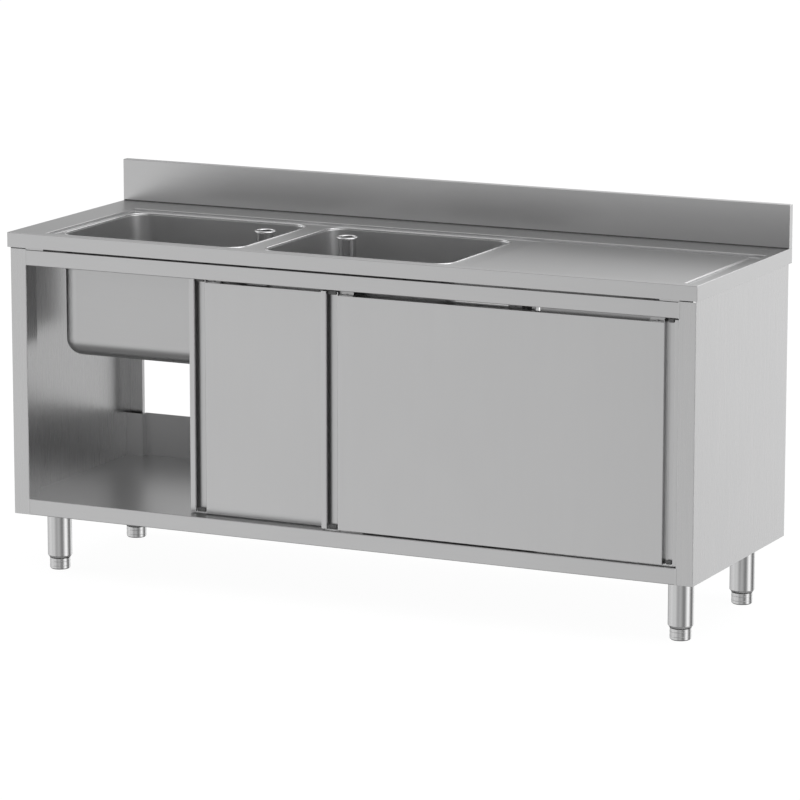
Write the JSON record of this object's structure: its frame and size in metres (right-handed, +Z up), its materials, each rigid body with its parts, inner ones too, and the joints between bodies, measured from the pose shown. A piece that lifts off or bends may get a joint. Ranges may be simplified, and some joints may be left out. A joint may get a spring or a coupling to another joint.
{
  "type": "kitchen sink unit",
  "caption": "Stainless steel catering sink cabinet with deep bowls, drainer, splashback, sliding doors on rollers and adjustable feet.",
  "frame": {"origin": "on the floor under the middle of the worktop", "axes": "+X to the right along the width, +Y from the front to the wall, +Z up"},
  "size_m": [1.8, 0.6, 0.955],
  "materials": {
    "satin_steel": "satin, softly blurred reflections",
    "bowl_steel": "deep drawn, satin",
    "door_steel": "satin",
    "leg_steel": "polished tube",
    "gear_steel": "zinc plated",
    "bright_steel": "polished",
    "grey_plastic": "moulded, matt",
    "dark_plastic": "moulded, matt",
    "nylon": "moulded, matt",
    "core_board": "honeycomb board",
    "black_rubber": "matt"
  },
  "bodies": {
    "cabinet": {"bottom_shelf": "satin_steel", "bowl_left": "bowl_steel", "bowl_right": "bowl_steel", "drainer_stiffeners": "satin_steel", "front_track": "gear_steel", "guide_screws": "gear_steel", "leg_bolts": "gear_steel", "leg_channel_left": "satin_steel", "leg_channel_right": "satin_steel", "leg_front_left": "leg_steel", "leg_front_right": "leg_steel", "leg_inserts": "grey_plastic", "leg_nuts": "gear_steel", "leg_rear_left": "leg_steel", "leg_rear_right": "leg_steel", "lower_guide": "nylon", "rear_rail": "satin_steel", "rear_track": "gear_steel", "shelf_stiffener": "satin_steel", "side_panel_left": "satin_steel", "side_panel_right": "satin_steel", "splashback": "satin_steel", "top_brackets": "satin_steel", "top_rail": "satin_steel", "track_blind": "gear_steel", "track_stops": "black_rubber", "waste_body_left": "bright_steel", "waste_body_right": "bright_steel", "waste_nuts": "dark_plastic", "waste_seals": "black_rubber", "worktop": "satin_steel"},
    "front_door": {"front_door_bottom_channel": "door_steel", "front_door_core": "core_board", "front_door_grip_caps": "grey_plastic", "front_door_hanger_screws": "gear_steel", "front_door_hangers": "gear_steel", "front_door_inner_skin": "door_steel", "front_door_skin": "door_steel", "front_door_top_channel": "door_steel"},
    "rear_door": {"rear_door_bottom_channel": "door_steel", "rear_door_core": "core_board", "rear_door_grip_caps": "grey_plastic", "rear_door_hanger_screws": "gear_steel", "rear_door_hangers": "gear_steel", "rear_door_inner_skin": "door_steel", "rear_door_skin": "door_steel", "rear_door_top_channel": "door_steel"},
    "front_rollers_left": {"front_door_rollers_left": "nylon"},
    "front_rollers_right": {"front_door_rollers_right": "nylon"},
    "rear_rollers_left": {"rear_door_rollers_left": "nylon"},
    "rear_rollers_right": {"rear_door_rollers_right": "nylon"},
    "overflow_left": {"standpipe_left": "bright_steel", "standpipe_plug_left": "black_rubber"},
    "overflow_right": {"standpipe_right": "bright_steel", "standpipe_plug_right": "black_rubber"},
    "foot_front_left_body": {"foot_front_left": "leg_steel"},
    "foot_front_right_body": {"foot_front_right": "leg_steel"},
    "foot_rear_left_body": {"foot_rear_left": "leg_steel"},
    "foot_rear_right_body": {"foot_rear_right": "leg_steel"}
  },
  "joints": [
    {"name": "front_door_slide", "type": "slide", "parent": "cabinet", "child": "front_door", "axis": [1, 0, 0], "range_m": [-0.793, 0]},
    {"name": "rear_door_slide", "type": "slide", "parent": "cabinet", "child": "rear_door", "axis": [1, 0, 0], "range_m": [-0.426, 0.367]},
    {"name": "front_rollers_left_spin", "type": "hinge", "parent": "front_door", "child": "front_rollers_left", "pos_m": [0.0075, -0.275, 0.7888], "axis": [0, 1, 0], "continuous": true},
    {"name": "front_rollers_right_spin", "type": "hinge", "parent": "front_door", "child": "front_rollers_right", "pos_m": [0.795, -0.275, 0.7888], "axis": [0, 1, 0], "continuous": true},
    {"name": "rear_rollers_left_spin", "type": "hinge", "parent": "rear_door", "child": "rear_rollers_left", "pos_m": [-0.3595, -0.247, 0.7888], "axis": [0, 1, 0], "continuous": true},
    {"name": "rear_rollers_right_spin", "type": "hinge", "parent": "rear_door", "child": "rear_rollers_right", "pos_m": [0.428, -0.247, 0.7888], "axis": [0, 1, 0], "continuous": true},
    {"name": "overflow_left_lift", "type": "slide", "parent": "cabinet", "child": "overflow_left", "axis": [0, 0, 1], "range_m": [0, 0.3]},
    {"name": "overflow_right_lift", "type": "slide", "parent": "cabinet", "child": "overflow_right", "axis": [0, 0, 1], "range_m": [0, 0.3]},
    {"name": "foot_front_left_level", "type": "slide", "parent": "cabinet", "child": "foot_front_left_body", "axis": [0, 0, -1], "range_m": [0, 0.02]},
    {"name": "foot_front_right_level", "type": "slide", "parent": "cabinet", "child": "foot_front_right_body", "axis": [0, 0, -1], "range_m": [0, 0.02]},
    {"name": "foot_rear_left_level", "type": "slide", "parent": "cabinet", "child": "foot_rear_left_body", "axis": [0, 0, -1], "range_m": [0, 0.02]},
    {"name": "foot_rear_right_level", "type": "slide", "parent": "cabinet", "child": "foot_rear_right_body", "axis": [0, 0, -1], "range_m": [0, 0.02]}
  ],
  "couplings": [
    {"joint": "front_rollers_left_spin", "follows": "front_door_slide", "rad_per_m": 100},
    {"joint": "front_rollers_right_spin", "follows": "front_door_slide", "rad_per_m": 100},
    {"joint": "rear_rollers_left_spin", "follows": "rear_door_slide", "rad_per_m": 100},
    {"joint": "rear_rollers_right_spin", "follows": "rear_door_slide", "rad_per_m": 100}
  ]
}
